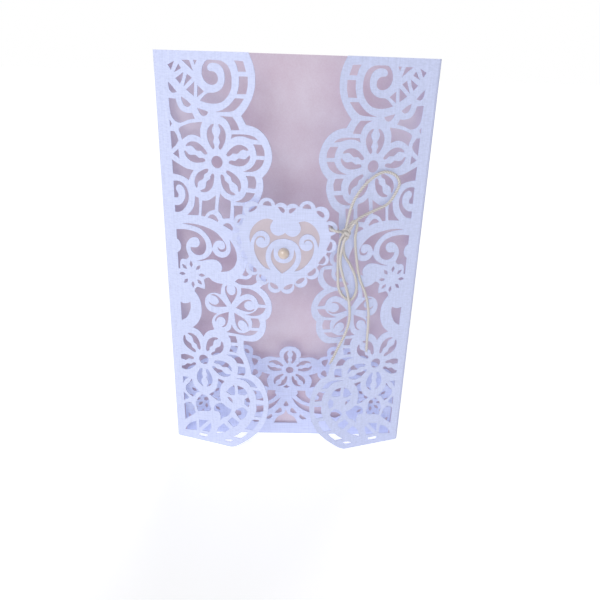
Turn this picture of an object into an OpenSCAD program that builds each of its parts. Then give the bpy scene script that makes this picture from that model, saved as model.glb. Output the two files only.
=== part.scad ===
// Lace invitation card: a folded card with two lace gates and a lace pocket, an insert card,
// a lace heart with its backing and half pearl, and a twine bow.
// The card stands on its bottom edge with its front towards -Y.

/* [Card] */
// Width of the folded card, from side fold to side fold
card_w = 127; // [110:1:150]
// Height of the card and of its two lace gates
card_h = 203; // [180:1:230]
// Thickness of the white card stock
stock_t = 0.3; // [0.25:0.01:0.4]
// Outer radius of the two soft side folds
fold_r = 2.5; // [1.5:0.1:3.5]
// Angle between each half-open gate and the back panel
gate_angle = 18; // [14:0.5:22]
// Reach of each gate along the sheet, from its side fold to its furthest lobe
gate_reach = 58; // [50:0.5:60]

/* [Pocket] */
// Height of the lace pocket at its middle flower
pocket_h = 60; // [50:1:66]
// Angle by which the pocket leans away from the back panel
pocket_lean = 3.5; // [2:0.25:4]
// Outer radius of the bottom fold that carries the pocket
bottom_r = 0.8; // [0.7:0.05:1.2]
// Space between the pocket and the inside of the card at each side
pocket_side_gap = 2.5; // [1.5:0.1:6]

/* [Insert card] */
// Thickness of the insert card
insert_t = 0.35; // [0.25:0.01:0.4]
// Space between the insert card and the side fold at each side
insert_side_gap = 1; // [0.3:0.1:4]
// Space between the insert card and the back panel
insert_rear_gap = 0.1; // [0.05:0.05:0.3]

/* [Heart] */
// Width of the lace heart
heart_w = 48; // [40:0.5:50]
// Thickness of the lace heart
heart_t = 0.3; // [0.25:0.01:0.5]
// Thickness of the backing behind the heart's openings
backing_t = 0.25; // [0.2:0.01:0.4]
// Sideways place of the heart's centre
heart_x = -4.3; // [-8:0.1:0]
// Height of the heart's centre
heart_z = 119.4; // [110:0.1:126]
// Clockwise turn of the heart
heart_turn = 3; // [0:0.5:6]
// Space between the backing and the gate tips behind it
heart_gap = 0.3; // [0.2:0.05:0.6]
// Diameter of the half pearl
pearl_d = 5.5; // [4:0.1:8]

/* [Twine] */
// Diameter of the twine
twine_d = 1.4; // [1:0.1:1.8]
// Thickness of the knot
knot_d = 4.2; // [4:0.1:4.6]

/* [Hidden] */

paper_colour = [0.84, 0.87, 0.96];
insert_colour = [0.76, 0.68, 0.76];
backing_colour = [0.82, 0.76, 0.76];
pearl_colour = [0.94, 0.86, 0.66];
twine_colour = [0.84, 0.82, 0.78];

// Steps in each stretch of a smooth cut line, round a fold, and round small round things
curve_steps = 2;
fold_steps = 96;
round_steps = 48;
small_round_steps = 24;
// Outlines are drawn this much wider, so that their halves and scallops run together
edge_ease = 0.01;
// Flats reach this far into the folds beside them, so that they are one sheet
fold_lap = 0.1;
bottom_fold_lap = 0.05;
// Flats stand proud of their folds by this much, and are narrower than them at each end
flat_step = 0.01;
flat_inset = 0.02;
// Slit at each end of the bottom fold
fold_slit = 0.4;

// The grids on which the lace is drawn, in millimetres of the card as it was measured
lace_grid_w = 58;
lace_grid_h = 203;
pocket_grid_w = 58.5;
pocket_grid_h = 60;
heart_grid_w = 48;

// Where the flat of a gate starts, along the sheet from the side fold's outermost line
gate_start = fold_r * (90 - gate_angle) * PI / 180;
// Half the flat width of the back panel
back_half_w = card_w / 2 - fold_r;
pocket_half_w = back_half_w - pocket_side_gap;

// Distance in front of the back panel's rear face of a point on a gate's front face
function gate_front(along) = fold_r * (1 + cos(gate_angle)) + (along - gate_start) * sin(gate_angle);

// The gate tips that the heart rests on, measured along the sheet
heart_rest_grid = 55.5;
heart_rest_reach = heart_rest_grid * gate_reach / lace_grid_w;
backing_rear_y = -gate_front(heart_rest_reach) - heart_gap;
heart_rear_y = backing_rear_y - backing_t;
heart_scale = heart_w / heart_grid_w;
// Depth from the back panel's rear face to the front of the half pearl
stand_depth = heart_t + pearl_d / 2 - heart_rear_y;

// A closed smooth line through points. A third number makes a point a sharp corner.
function place(q) = [q[0], q[1]];
function unit(v) = v / max(norm(v), 0.0001);
function heading(p, i, chord) =
  let (n = len(p))
  len(p[i]) > 2 ? chord : norm(chord) * unit(place(p[(i + 1) % n]) - place(p[(i + n - 1) % n]));
function stretch(a, b, ta, tb, t) =
  a * (2 * t * t * t - 3 * t * t + 1) + ta * (t * t * t - 2 * t * t + t)
  + b * (3 * t * t - 2 * t * t * t) + tb * (t * t * t - t * t);
function curve(p) = [
  for (i = [0:len(p) - 1])
    let (
      j = (i + 1) % len(p),
      a = place(p[i]),
      b = place(p[j]),
      straight = len(p[i]) > 2 && len(p[j]) > 2,
      steps = straight ? 1 : curve_steps
    )
    for (k = [0:steps - 1])
      stretch(a, b, heading(p, i, b - a), heading(p, j, b - a), k / steps)
];
module cut(p) {
  polygon(curve(p));
}
module cuts(list) {
  for (p = list) {
    cut(p);
  }
}
module mirrored() {
  children();
  mirror([1, 0]) children();
}
module outline() {
  offset(delta = edge_ease) mirrored() children();
}

// Free edge of a gate from its top to its bottom, then back up along the fold
gate_edge = [
  [0, 203, 1], [46.3, 203, 1], [47.8, 200], [49, 196.5], [49.4, 192.5], [49, 188.5], [47.6, 184.5],
  [45.4, 180.8], [42.9, 177.7, 1], [45.1, 174.1, 1], [48.3, 173.6], [51.5, 172.2], [54.6, 169.3],
  [56.6, 165.3], [57.3, 161], [56.6, 157.8], [55, 154.6], [52.7, 152, 1], [53.3, 148.3], [52.7, 145],
  [51.3, 141.5], [49.3, 138.6], [46.2, 136.4, 1], [46, 131], [45.4, 127], [45.3, 123.5],
  [46.2, 120.9, 1], [48.7, 117.8], [49.8, 115], [49.3, 112.5], [47.8, 110.8, 1], [52, 110.8],
  [54.3, 109], [55.3, 106], [54.8, 103], [53.3, 100.6], [51.7, 98.9, 1], [54.3, 97.3], [56.4, 94.8],
  [57.7, 91.5], [57.9, 87.8], [56.8, 84.3], [54.8, 82, 1], [55, 78.5], [54.2, 75], [52.3, 71.8],
  [49.5, 69.4], [46, 68.7], [43, 68.5, 1], [42.9, 64], [44.2, 60], [45.8, 56], [46.7, 52.5],
  [47, 49.8, 1], [50, 48.7], [52.3, 46.8], [54.2, 44], [55.7, 40], [56.6, 35], [56.6, 30],
  [55.8, 25], [54.2, 20.3], [51.8, 15.3], [49, 11.8], [45.5, 8], [42, 4.8], [38.8, 2.1],
  [36.5, 0.7], [34.5, 0, 1], [0, 0, 1]
];

// Lattice of the top corner, with the half moons and the open field under it
lattice_cuts = [
  [[8.5, 197.2, 1], [11.8, 198.8, 1], [10, 195.1, 1]],
  [[11.5, 194.2, 1], [13.8, 197.7, 1], [15, 195.9, 1], [13.2, 195, 1]],
  [[15.3, 199.3, 1], [19, 199.3, 1], [20.7, 195, 1]],
  [[20.9, 199.4, 1], [22.7, 199.4, 1], [21.6, 197.4, 1]],
  [[12, 191.8, 1], [16, 194.4, 1], [15.2, 191.5], [14.1, 189.6, 1]],
  [[15.8, 188.5, 1], [17.7, 193.8, 1], [20, 192.3, 1]],
  [[8.3, 190.2, 1], [10.3, 188.4], [12.3, 186.2, 1], [10, 185.7], [8.5, 187.5]],
  [[16.9, 187.3, 1], [21.1, 190.8, 1], [20.6, 184.8, 1]],
  [[22.5, 189.4, 1], [25.6, 186.9, 1], [22.2, 184.5, 1]],
  [[14.2, 184.4, 1], [16.6, 183.2], [19.1, 181.2, 1], [17.4, 180.1], [15.2, 181.1]],
  [[21.9, 180, 1], [24.4, 179.4], [27.3, 178.6, 1], [26.2, 177], [23.8, 177]],
  [[8.1, 183.5, 1], [11.6, 183.3, 1], [12.4, 180.6], [14.2, 178.4], [17, 177.6], [19.5, 177.7, 1],
    [20.6, 175.4, 1], [17, 174.6], [13.5, 173.2], [10.5, 174], [8.6, 176.7]],
  [[7.9, 174.2, 1], [9, 172.6], [7.9, 171.2, 1]],
  [[12.3, 170.5], [14.5, 172], [18.5, 173.4], [24.2, 174.2, 1], [23, 171], [23.1, 167.3, 1],
    [20, 168.4], [16.8, 167.9], [13.7, 165.8, 1], [13.2, 168]],
  [[8, 169.4, 1], [10.1, 169.3, 1], [11.9, 165.3], [8.2, 161.3, 1]],
  [[8.7, 159.3, 1], [11.6, 161.7, 1], [11.9, 157.4, 1]],
  [[8, 156.6, 1], [12, 154.5], [15.5, 153], [18.9, 152.6, 1], [17.4, 150.4], [16.2, 147.8, 1],
    [13, 149.4], [8.1, 150.1, 1]]
];

// Large scroll of the top lobe
top_scroll_cut = [
  [27.3, 199.5], [30.5, 199.6], [34, 199.4], [36.8, 197.8], [38.3, 195], [38.7, 191], [38, 187.6],
  [36.1, 184.7], [33.5, 182.8], [30, 182.1], [26.5, 182.3], [23.5, 183.1, 1], [25.5, 185.2],
  [27.5, 186.4], [30.2, 186.6], [32.8, 187.6], [34.7, 189.6], [35.5, 192.5], [34.9, 196],
  [32.8, 198], [30, 198.5], [28, 197.8], [27.4, 196.3], [28.3, 195.3], [30.5, 195.1],
  [32.1, 193.6], [32.2, 191.3], [30.6, 189.9], [28.2, 189.9], [26, 191.2], [24.7, 194], [25.3, 197.3]
];

// Ladder windows inside the free edge, from the top lobe down to the bottom lobe
ladder_cuts = [
  [[39.8, 199.7, 1], [44, 199.5, 1], [45.3, 195.5, 1], [41.6, 195.4, 1], [41, 197.8]],
  [[42, 193.6, 1], [46, 193.6, 1], [46, 190], [45.2, 186.6, 1], [41, 186.5, 1], [41.9, 190]],
  [[40, 184.8, 1], [44.3, 184.8, 1], [42, 181.8], [39.3, 179.6], [36, 179], [30.5, 178.7, 1],
    [34.2, 179.8], [37.5, 182]],
  [[32.5, 177.2, 1], [38.7, 177.1, 1], [40.7, 174.7], [42, 171.7, 1], [38, 171.5, 1], [37, 174.2],
    [35.3, 176]],
  [[37.9, 167.8, 1], [38.3, 169.7, 1], [42, 170], [46, 170], [49, 169.3], [50.7, 168, 1],
    [47.5, 168.3], [43.5, 169.2], [40.3, 168.9]],
  [[48.4, 166.2, 1], [52.4, 166.2, 1], [53.6, 163.9], [53.8, 161.5, 1], [50, 161.4, 1], [49.5, 163.9]],
  [[49.9, 159.7, 1], [53.6, 159.8, 1], [52.7, 157.5], [50.8, 155.5], [48, 154.2], [43.4, 153.9, 1],
    [46.5, 155.2], [48.6, 157.2]],
  [[44.9, 152.2, 1], [49, 152.2, 1], [49.9, 149.7], [49.4, 146.7, 1], [45.8, 146.7, 1], [45.9, 149.5]],
  [[45, 144.7, 1], [49.3, 144.7, 1], [47.8, 142.3], [45.6, 140.6], [43, 139.8], [39.3, 139.8, 1],
    [42.3, 141.1], [44.1, 142.8]],
  [[41.8, 97.3, 1], [46, 97.5], [50, 96.2], [53, 93.7], [54.8, 90.2, 1], [51, 90.1, 1], [49.8, 92.8],
    [47.6, 94.4], [44.8, 94.6], [41.2, 92.7, 1], [42, 95]],
  [[50.8, 88.3, 1], [54.8, 88.7, 1], [53.6, 86.2], [51.4, 84.3], [48.3, 83.3], [44, 83.2, 1],
    [47, 84.5], [49.4, 86.2]],
  [[46.8, 81.8, 1], [50.9, 82.3, 1], [51.8, 79.8], [51.3, 77.2, 1], [47.3, 76.7, 1], [47.7, 79.4]],
  [[33.4, 71.8, 1], [35.6, 73.6], [36.5, 76.6, 1], [37.4, 74.7], [39.2, 73.1], [41.5, 72.6],
    [43.8, 73.2], [46.4, 75, 1], [50.7, 75.4, 1], [48.8, 73.2], [46.3, 72], [43, 71.6]],
  [[34.5, 70, 1], [38.7, 70.2, 1], [39.5, 66.7, 1], [35.8, 66.2, 1], [35.5, 68.2]],
  [[35.8, 64.4, 1], [39.7, 64.8, 1], [38.8, 60.8, 1], [34.9, 60.8, 1]],
  [[33, 58.5, 1], [36.5, 59.2], [39.8, 58.9], [42, 57.3], [43, 54.8, 1], [39.1, 54.6, 1],
    [38, 56.4], [36, 57.8]],
  [[39.6, 53, 1], [43.4, 53.1, 1], [43.8, 50.5], [43, 48, 1], [39, 47.8, 1], [39.6, 50.5]],
  [[38, 45.4, 1], [42, 46.1], [45.5, 46.1], [48.3, 44.8], [50.4, 42.1, 1], [46.6, 42, 1],
    [45.2, 43.8], [42.8, 45]],
  [[48, 40.3, 1], [51.9, 40.5, 1], [53.3, 37.8], [53.9, 34.9, 1], [49.8, 34.7, 1], [49.3, 37.6]],
  [[49.8, 31.7, 1], [53.9, 32.4, 1], [53.8, 28], [52.8, 24.1, 1], [48.7, 23.8, 1], [49.8, 27.7]],
  [[47.4, 21.6, 1], [51.5, 22, 1], [50, 18.2], [47.8, 14.5, 1], [43.2, 14.2, 1], [45.6, 17.8]],
  [[41.5, 12, 1], [44.9, 12.3, 1], [43, 9.6], [40.4, 7.2, 1], [35.8, 7, 1], [38.8, 9.3]]
];

// Small scroll that grows out of the fold under the large flower
fold_scroll_cut = [
  [8.1, 146.7, 1], [10.5, 147], [13.2, 146], [15.1, 143.6], [15.8, 140.5], [15.2, 137.3],
  [13.5, 134.5], [11, 132.3], [8.1, 131.8, 1], [8.1, 135.2, 1], [10.3, 135.4], [12.3, 136.8],
  [13.7, 139], [14, 141.7], [13.2, 144], [11.4, 145.3], [9.7, 144.7], [9.2, 142.8], [10.3, 141],
  [10.1, 139.2], [8.1, 139, 1]
];

// Upright bars under the large flower
bar_cuts = [
  [[19, 140.5, 1], [20.9, 139.9, 1], [21, 136], [20.5, 131.5, 1], [14.5, 131, 1], [16.9, 133.4],
    [18.5, 136.6]],
  [[22.7, 138.7, 1], [26, 139.2], [29.8, 141.9, 1], [29.4, 138.3], [29, 135, 1], [26.6, 134.2],
    [24.8, 132.8], [23.8, 131.2, 1], [21.9, 131.3, 1], [22.2, 135]],
  [[32, 143, 1], [34.3, 141], [37.2, 140, 1], [37.1, 136], [36.5, 131.7, 1], [33, 131.2, 1],
    [32.2, 133], [30.7, 134.6, 1], [31.2, 139]],
  [[38.8, 137.9, 1], [43.2, 138.3, 1], [42.9, 135], [42.2, 131.8], [40.8, 130, 1], [38.5, 130.5, 1],
    [38.8, 134]]
];

// Half moons along the scalloped band
half_moon_cuts = [
  [[25.2, 130.9, 1], [26.7, 132.4], [28.7, 132.5], [30.7, 130], [30.3, 129.3, 1], [27.8, 130.3]],
  [[33, 128, 1], [34.8, 129.2], [36.8, 128.9], [38.1, 127], [37.7, 125.8, 1], [35.4, 126.9]],
  [[40.4, 125.1, 1], [42.3, 125.3], [43.8, 123.6], [43.8, 121.3], [42.9, 120.5, 1], [42.2, 122.8]],
  [[45.3, 117.3, 1], [46.9, 116.6], [47.8, 114.7], [47.2, 112.6], [45.3, 112, 1], [45.7, 114.7]],
  [[44.3, 108.3, 1], [45.8, 108], [46.4, 106.5], [45.8, 104.8], [44.4, 103.8], [42.5, 104.2, 1],
    [43.6, 106]]
];

// Large scrolls, and the open fields between them and the leaf
scroll_field_cuts = [
  [[11.2, 126.4, 1], [15.5, 127], [20, 126.8], [25, 125.8], [29, 124.2], [31.7, 122], [33.4, 119.9],
    [34.5, 117.8], [34, 115.4], [32, 114.6], [30.4, 115.3], [29.9, 117, 1], [31.3, 115.9],
    [32.9, 116.1], [33.8, 117.5], [33, 119.9], [30.6, 120.2], [28.5, 119.1], [27, 116, 1],
    [26.5, 118.8], [25.1, 121.5], [22.8, 123.8], [19.8, 125.4], [16, 126.1]],
  [[8.1, 123.2, 1], [11.5, 123.7], [15.5, 123.6], [18.8, 122.9], [21.7, 121.3], [23.5, 118.7],
    [23.8, 115.5], [22.6, 112.8], [20.4, 111.5], [17.9, 111.5], [15.9, 113], [15.3, 115, 1],
    [16.7, 115.1], [18.8, 115.3], [20.3, 117], [20.3, 119], [18.8, 120.3], [16.6, 120.1],
    [14.4, 118.4], [13.1, 116], [13, 113.5], [14.3, 110, 1], [12.8, 108.4], [10.8, 108.5],
    [9.3, 107], [9.1, 103, 1], [8.1, 103, 1], [8.1, 111.5, 1], [9.6, 112.8], [10.2, 115],
    [9.5, 117.4], [8.1, 118.6, 1]],
  [[18, 108.2, 1], [21, 109.2], [23.8, 110.6], [26, 112.7], [27.1, 114.8, 1], [28.3, 113.1],
    [30, 112], [32.2, 111.7], [34.4, 112.5], [36.1, 114.3], [36.8, 117], [36.3, 121.2, 1],
    [38.1, 118.8], [39.4, 116], [39.9, 112.8], [39.3, 109.6], [37.7, 107.1], [35.2, 105.2],
    [31.2, 104.2, 1], [32, 106], [31.3, 108.4], [29, 110.1], [25.2, 109.9], [21.5, 108.7]],
  [[38.7, 100.3, 1], [40.6, 102], [44.8, 102.2], [47.2, 103.8], [48.3, 106.3], [48.1, 109, 1],
    [52.2, 109.2, 1], [52.7, 106.8], [51.9, 104], [50.1, 101.5], [47.6, 99.8], [44.5, 99.2],
    [41, 99.2]],
  [[21.9, 98.7, 1], [23.2, 99.9], [24.8, 100.3], [26.2, 99.1], [29, 98.1], [32.1, 98.1, 1],
    [31.2, 95.5], [30.8, 92.2, 1], [27.8, 92.7], [24.8, 91.8], [22.8, 89.8], [22, 87.2],
    [22.4, 84.5], [24.2, 82.2], [28.5, 81.4, 1], [26.4, 79.2], [25.5, 76], [26.7, 72, 1],
    [23.8, 70.9], [21.7, 69.1], [20.3, 66.8, 1], [18.8, 69], [17, 70.3], [14.3, 71.2, 1],
    [16.8, 73.5], [18.8, 76.8], [19.8, 80.5], [19.8, 85], [18.6, 89], [16.4, 91.9, 1], [17, 93.5],
    [18.2, 94.5], [20, 94.2], [22.2, 93.9, 1], [22.3, 96.3]],
  [[8.1, 84.7, 1], [10, 84.2], [12, 84.6], [13.7, 85.5, 1], [13.8, 82.5], [12.7, 79], [10.9, 76.1],
    [8.2, 74.3, 1]]
];

// Wheel, leaves and corner shapes of the bottom lobe
bottom_cuts = [
  [[32.6, 35.8, 1], [34.4, 38.6], [37.1, 41, 1], [37.7, 38], [37.4, 34.8, 1], [35.2, 34.4]],
  [[39, 41, 1], [41.6, 40.6], [43.7, 39.2], [44.8, 37.3, 1], [43, 35.9], [39.2, 35.9, 1], [39.4, 38.5]],
  [[43.2, 33.4, 1], [45.3, 35.2, 1], [46.3, 32.4], [45.3, 29, 1], [43.1, 30, 1]],
  [[33, 32.6, 1], [34.9, 32.7], [36.1, 31], [36, 29.7, 1], [34.3, 30.8]],
  [[38, 25.3], [40, 27], [42, 28], [44.8, 26, 1], [43.9, 23], [42.4, 21], [40.8, 19.7, 1],
    [39.1, 21.3], [37.4, 23.6, 1]],
  [[33, 17, 1], [35.6, 20.3, 1], [39.8, 17.8, 1], [38.5, 15.3], [36.2, 13.8, 1], [34.3, 15.6]],
  [[26, 6.8, 1], [27.3, 11.5], [30.5, 14.8, 1], [34.2, 12, 1], [31.2, 9.3]],
  [[25, 22, 1], [25, 24.5], [26.8, 26.8], [29.8, 28], [32.5, 26.2], [35.5, 25.2, 1], [34.4, 22.4],
    [32.7, 20, 1], [30.4, 19], [28.6, 16.4, 1], [28.8, 19.4], [27.8, 22, 1]],
  [[28, 43, 1], [31.7, 42.3, 1], [29.8, 39.3], [28.9, 36], [28.7, 32.5], [29.2, 29.2, 1],
    [26.8, 29.2], [24.7, 30.6], [22.2, 31.9, 1], [24.8, 34], [26.8, 36.8], [27.6, 40]],
  [[14, 24.5], [15.5, 28.2], [18.3, 31.3, 1], [21, 30.2], [22.4, 27.8], [22.2, 25.2], [23.2, 22.8],
    [21.8, 20.9], [18.5, 20.4], [15, 19.3, 1], [14.4, 21.7]],
  [[12.2, 40, 1], [12.9, 37], [14.4, 34.6], [16.8, 32.4, 1], [14.6, 31.2], [13.4, 29.3],
    [12.2, 28.2, 1], [9.9, 29.6], [8.3, 32], [8.5, 34.8], [10.5, 36.8]],
  [[6.9, 40.3, 1], [10.4, 40.3, 1], [8.2, 38.4], [6.9, 36, 1]],
  [[6.8, 30, 1], [8.8, 28.8], [10.1, 26.8, 1], [6.7, 24.8, 1]],
  [[6.7, 22.3, 1], [8.6, 23.9], [11, 23.9], [12.7, 22.2], [12.8, 20], [13.7, 18.3, 1], [11.5, 16],
    [9.3, 14.3], [6.8, 12, 1]],
  [[6.2, 5, 1], [7.8, 7.9], [10.3, 10.7], [13.5, 12.3, 1], [13.8, 6.5, 1], [9.8, 5.6]],
  [[15.5, 13.8, 1], [18.4, 14.2], [21.3, 14.9, 1], [15.5, 8.2, 1]],
  [[22.8, 13.5, 1], [22.6, 10], [21.5, 7, 1], [17, 6.8, 1]],
  [[15, 4.7, 1], [20.3, 4.8, 1], [20, 3, 1], [15, 2.8, 1]],
  [[30.2, 3.3, 1], [32.5, 4.6], [36, 4.9, 1], [34, 3.2]]
];

// One half of a petal's opening, with its wavy vein, for a petal that points along +Y
petal_half_cut = [
  [1, 16.4], [2.4, 16.1], [3.8, 14.6], [4.6, 12.4], [4.4, 10], [3.4, 7.6], [2, 5.6], [1.1, 6],
  [1.1, 7.4], [1.7, 8.8], [1, 10.8], [1.9, 12.8], [2, 14.4]
];
large_eye_d = 5.5;
petals = 5;

// A five-petal flower's openings: a round eye, and a pair of openings in each petal
module flower_cuts(turn) {
  circle(d = large_eye_d, $fn = small_round_steps);
  for (k = [0:petals - 1]) {
    rotate(turn + k * 360 / petals) {
      mirrored() cut(petal_half_cut);
    }
  }
}

// A small flower whose petals each hold a ball inside a slit
ball_petal_cut = [
  [0, 2.5, 1], [1.5, 5], [2.8, 7.5], [3.3, 9.8], [2.9, 11.6], [1.9, 12.4, 1], [2.3, 11.2],
  [2.4, 9.7], [1.6, 8], [0, 7.3], [-1.6, 8], [-2.4, 9.7], [-2.3, 11.2], [-1.9, 12.4, 1],
  [-2.9, 11.6], [-3.3, 9.8], [-2.8, 7.5], [-1.5, 5]
];
module ball_flower_cuts(turn) {
  for (k = [0:petals - 1]) {
    rotate(turn + k * 360 / petals) cut(ball_petal_cut);
  }
}

// A ring of seeds
seed_cut = [[0, -1.8, 1], [0.9, -0.1], [0, 1.8, 1], [-0.9, -0.1]];
module seed_cuts(count, ring_r, turn) {
  for (k = [0:count - 1]) {
    rotate(turn + k * 360 / count) translate([0, ring_r]) cut(seed_cut);
  }
}

// Openings stay this far from the fold
fold_margin = 6.5;

// Places of the gate's flowers and of its ring of seeds
top_flower_place = [30.8, 157.2];
bottom_flower_place = [20, 53.2];
ball_flower_place = [36.5, 85.4];
seed_place = [15.5, 100.8];
seeds = 8;
seed_ring_r = 5.4;
seed_turn = 3;

module gate_openings() {
  cuts(lattice_cuts);
  cut(top_scroll_cut);
  cuts(ladder_cuts);
  cut(fold_scroll_cut);
  cuts(bar_cuts);
  cuts(half_moon_cuts);
  cuts(scroll_field_cuts);
  cuts(bottom_cuts);
  translate(top_flower_place) flower_cuts(0);
  translate(bottom_flower_place) flower_cuts(180);
  translate(ball_flower_place) ball_flower_cuts(0);
  translate(seed_place) seed_cuts(seeds, seed_ring_r, seed_turn);
}

// A flat sheet less its openings
module lace() {
  difference() {
    children(0);
    children(1);
  }
}

module gate_lace() {
  lace() {
    intersection() {
      scale([gate_reach / lace_grid_w, card_h / lace_grid_h]) cut(gate_edge);
      translate([gate_start - fold_lap, flat_inset]) square([gate_reach, card_h - 2 * flat_inset]);
    }
    scale([gate_reach / lace_grid_w, card_h / lace_grid_h]) {
      intersection() {
        gate_openings();
        translate([fold_margin, 0]) square([lace_grid_w, lace_grid_h]);
      }
    }
  }
}

// One gate on the left with its soft side fold
module gate() {
  translate([-back_half_w, -fold_r, 0]) {
    rotate([0, 0, 90]) {
      rotate_extrude(angle = 180 - gate_angle, $fn = fold_steps) {
        translate([fold_r - stock_t, 0]) square([stock_t, card_h]);
      }
    }
    rotate([90, 0, -gate_angle]) {
      translate([-gate_start, 0, fold_r - stock_t + flat_step]) linear_extrude(stock_t) gate_lace();
    }
  }
}

// Top edge of the right half of the pocket, from its middle to its side, then down
pocket_edge = [
  [0, 59.6], [3.2, 58.9], [5.4, 56.5], [5.8, 54], [5.2, 52.6, 1], [7.5, 52.4], [10, 52.9],
  [12.6, 52.6], [15.4, 51.2, 1], [16.8, 52.8], [20.3, 53.8, 1], [19.9, 56.5], [20.9, 58.8],
  [23.3, 60], [26, 59.4], [27.7, 57.4, 1], [30, 59.2], [33.2, 59], [35.4, 56.8], [35.8, 54, 1],
  [38.5, 54.6], [41.4, 53.6], [43.2, 51, 1], [46, 50.8], [48.6, 49], [49.6, 46.4, 1], [52.4, 46.4],
  [55.2, 45], [57, 42.4], [58.5, 41, 1], [58.5, 0, 1], [0, 0, 1], [0, 59.6, 1]
];

// Openings of the pocket's right half, around the middle flower
pocket_cuts = [
  [[17.2, 50.3, 1], [18.4, 51.3], [20.8, 51.9, 1], [20.3, 49.4], [19.4, 47, 1], [17.9, 48.3]],
  [[17.2, 42.4], [18.9, 44.8], [20.2, 43], [20.5, 40.2, 1], [18.6, 40.9]],
  [[21.9, 55.2], [22.6, 57.2], [24.5, 57.6, 1], [24, 55.6], [22.8, 54.8]],
  [[31, 54.6, 1], [31, 56.6], [32.4, 57], [33.4, 55.6], [33.2, 53.8, 1]],
  [[38, 50.4, 1], [38.4, 52.2], [40, 52], [41, 50.4], [40.4, 49, 1]],
  [[45, 46.6, 1], [45.2, 48.4], [46.8, 48], [47.6, 46.6], [46.9, 45.2, 1]],
  [[51.4, 42.2, 1], [51.8, 44], [53.6, 43.6], [54.6, 42], [53.6, 40.6, 1]],
  [[10.7, 41.3, 1], [13, 42], [15.2, 43, 1], [15.6, 41], [17, 39.2], [19.3, 37.9, 1], [17.4, 36],
    [15.2, 34.2], [11.2, 32.8, 1], [12.2, 35.5], [12.3, 38.5]],
  [[24.5, 50.2], [27.5, 52.4], [30.4, 51], [31.2, 47.6], [29.2, 45.6, 1], [27.8, 47.8],
    [25.2, 47.4], [24, 44.6, 1], [23.2, 47.5]],
  [[34.2, 49.8, 1], [36.4, 46.8], [39.8, 45.2], [43.6, 43.8, 1], [41.4, 41.8], [37.6, 42],
    [34.4, 44.2], [33.2, 47.2]],
  [[22.6, 40.6, 1], [26, 41.8], [29.6, 40], [31.6, 36.8], [31.2, 33], [28.8, 30.8], [25.6, 31.2],
    [24.2, 33.8], [25.4, 36, 1], [26.8, 33.4], [29, 34], [29.6, 36.4], [27.6, 38.8]],
  [[34.4, 39.4, 1], [37.6, 39.2], [40.2, 37.2, 1], [37.4, 34.6], [35.8, 31, 1], [34, 33.8]],
  [[53.4, 36.8, 1], [57, 38, 1], [57, 33, 1]],
  [[57, 14.2, 1], [57, 9.2, 1], [52.8, 9.4, 1]]
];

// Openings of the pocket's right half in its lower part, about the lower part's own middle line
pocket_lower_cuts = [
  [[6, 30.8, 1], [10.6, 30.8, 1], [10.8, 28.2], [12.4, 26], [15.2, 24.6], [18, 25], [18.2, 27.2],
    [16.6, 28, 1], [17.4, 30], [21.4, 29.2, 1], [23.2, 25.6], [22.4, 22.2, 1], [17, 21.8],
    [12.4, 22.4], [8.6, 24.2], [5.4, 27.4, 1], [6.4, 29]],
  [[3, 26.2, 1], [5.5, 23.8], [8.6, 21.6], [12.6, 20.1], [17, 19.7], [21.5, 20, 1], [22, 17.4],
    [21, 14.8, 1], [17, 15], [13, 16], [9, 18], [5.6, 21.4]],
  [[2.4, 16.1, 1], [3, 18.8], [4.8, 17.4], [6.3, 15.2, 1], [4.3, 14.9]],
  [[7.7, 12.6], [8.4, 14.3, 1], [10, 12.8], [12, 11.3, 1], [9.7, 10.6]],
  [[14.6, 9.2], [15.4, 11, 1], [17.2, 10.2], [19.4, 9, 1], [17, 8.2]],
  [[25.6, 13.2], [25.8, 16, 1], [28.6, 16.4], [31.6, 14.4, 1], [28.8, 12.4]],
  [[27.4, 22.2], [28.6, 26.2, 1], [32.4, 25.8], [35.6, 22.4, 1], [34, 19.4], [30, 19.4]]
];
pocket_middle_cuts = [
  [[-1.8, 33.4, 1], [-0.6, 34.1], [0, 34.8, 1], [0.6, 34.1], [1.8, 33.4, 1], [0, 32.4]],
  [[-1.5, 20.6], [0, 23.6, 1], [1.5, 20.6], [0, 19.8]],
  [[-6.7, 8, 1], [-5.6, 11], [-4, 13], [-1.2, 14.6], [0, 17.6, 1], [1.2, 14.6], [4, 13],
    [5.6, 11], [6.7, 8, 1]]
];

// Place and size of the pocket's flower, and the sideways place of its lower part
pocket_flower_z = 44.5;
pocket_flower_scale = 0.75;
pocket_lower_x = -1.5;

// Two rings of seeds round an eye on each side of the pocket
pocket_seed_place = [46.5, 24];
inner_seeds = 8;
inner_seed_ring_r = 4.6;
outer_seeds = 12;
outer_seed_ring_r = 9;
seed_eye_d = 2.6;

module pocket_openings() {
  mirrored() {
    cuts(pocket_cuts);
    translate(pocket_seed_place) {
      seed_cuts(inner_seeds, inner_seed_ring_r, 0);
      seed_cuts(outer_seeds, outer_seed_ring_r, 180 / outer_seeds);
      circle(d = seed_eye_d, $fn = small_round_steps);
    }
  }
  translate([pocket_lower_x, 0]) {
    mirrored() cuts(pocket_lower_cuts);
    cuts(pocket_middle_cuts);
  }
  translate([0, pocket_flower_z]) scale(pocket_flower_scale) flower_cuts(0);
}

module pocket_lace() {
  lace() {
    intersection() {
      scale([pocket_half_w / pocket_grid_w, pocket_h / pocket_grid_h]) outline() cut(pocket_edge);
      translate([flat_inset - pocket_half_w, bottom_r - bottom_fold_lap]) {
        square([2 * (pocket_half_w - flat_inset), pocket_h]);
      }
    }
    scale([pocket_half_w / pocket_grid_w, pocket_h / pocket_grid_h]) pocket_openings();
  }
}

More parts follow.
